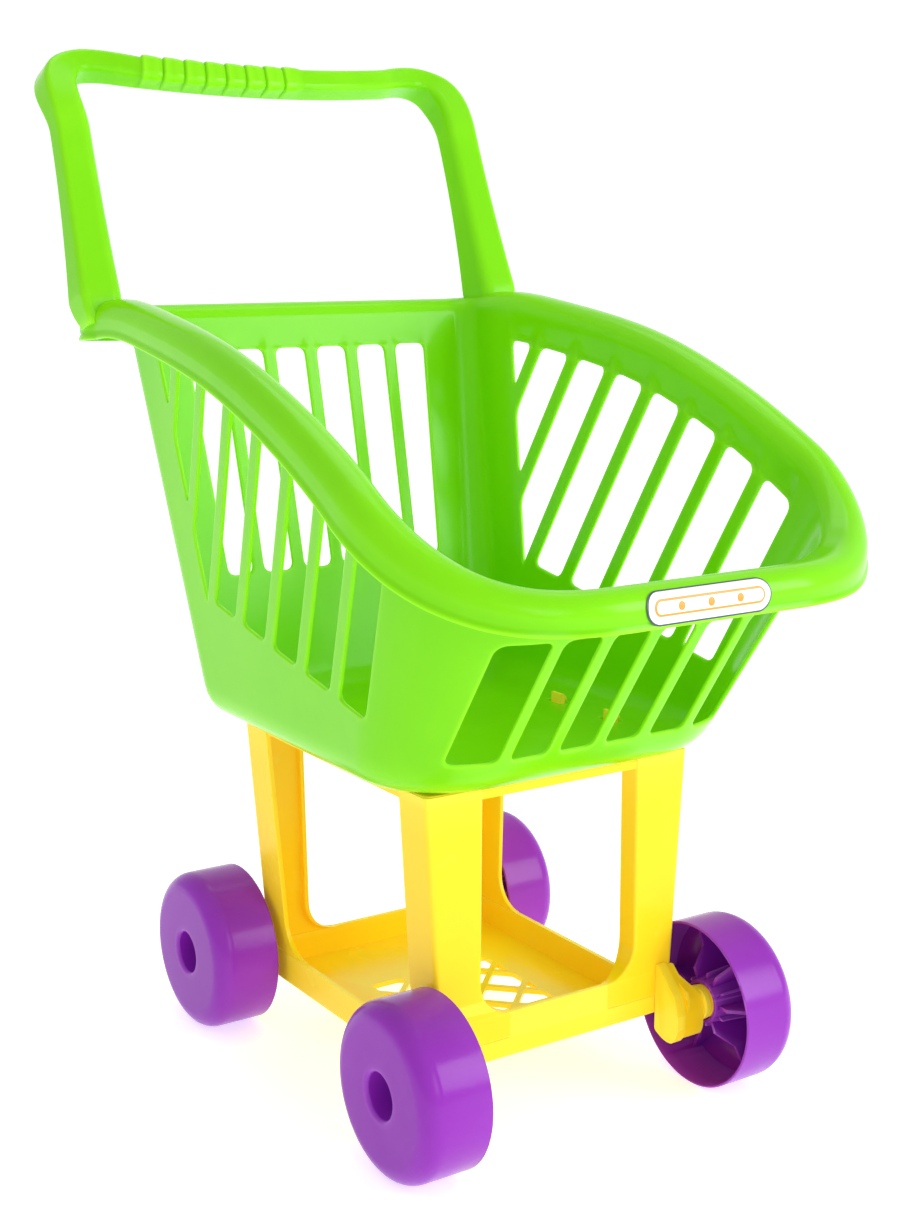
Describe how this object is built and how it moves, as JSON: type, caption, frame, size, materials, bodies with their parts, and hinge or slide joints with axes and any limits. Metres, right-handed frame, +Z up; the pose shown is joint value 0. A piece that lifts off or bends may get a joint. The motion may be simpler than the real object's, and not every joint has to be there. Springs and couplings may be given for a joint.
{
  "type": "toy shopping cart",
  "caption": "Child's plastic toy shopping cart: slotted scoop basket with a rolled rim and U-shaped push handle on an open four-legged base with a lattice tray and free-rolling wheels.",
  "frame": {"origin": "on the ground, under the middle of the cart's overall box", "axes": "+Z up; -Y towards the cart's nose and +Y towards the push handle; +X is the left hand of the child who pushes it"},
  "size_m": [0.277, 0.4173, 0.5232],
  "materials": {
    "green_plastic": "glossy injection-moulded plastic, lime green, slightly translucent",
    "yellow_plastic": "glossy injection-moulded plastic, warm yellow",
    "purple_plastic": "glossy moulded plastic, purple",
    "badge_film": "satin white film"
  },
  "bodies": {
    "cart": {"basket": "green_plastic", "handle": "green_plastic", "top_frame": "yellow_plastic", "tray": "yellow_plastic", "leg_front_left": "yellow_plastic", "leg_front_right": "yellow_plastic", "leg_rear_left": "yellow_plastic", "leg_rear_right": "yellow_plastic", "axle_bracket_front_left": "yellow_plastic", "axle_bracket_front_right": "yellow_plastic", "axle_bracket_rear_left": "yellow_plastic", "axle_bracket_rear_right": "yellow_plastic", "stub_axle_front_left": "yellow_plastic", "stub_axle_front_right": "yellow_plastic", "stub_axle_rear_left": "yellow_plastic", "stub_axle_rear_right": "yellow_plastic", "nose_badge": "badge_film"},
    "wheel_front_left": {"wheel_front_left": "purple_plastic"},
    "wheel_front_right": {"wheel_front_right": "purple_plastic"},
    "wheel_rear_left": {"wheel_rear_left": "purple_plastic"},
    "wheel_rear_right": {"wheel_rear_right": "purple_plastic"}
  },
  "joints": [
    {"name": "front_left_wheel_spin", "type": "hinge", "parent": "cart", "child": "wheel_front_left", "pos_m": [0.0927, -0.1109, 0.0425], "axis": [1, 0, 0], "continuous": true},
    {"name": "front_right_wheel_spin", "type": "hinge", "parent": "cart", "child": "wheel_front_right", "pos_m": [-0.0927, -0.1109, 0.0425], "axis": [1, 0, 0], "continuous": true},
    {"name": "rear_left_wheel_spin", "type": "hinge", "parent": "cart", "child": "wheel_rear_left", "pos_m": [0.0927, 0.0923, 0.0425], "axis": [1, 0, 0], "continuous": true},
    {"name": "rear_right_wheel_spin", "type": "hinge", "parent": "cart", "child": "wheel_rear_right", "pos_m": [-0.0927, 0.0923, 0.0425], "axis": [1, 0, 0], "continuous": true}
  ]
}
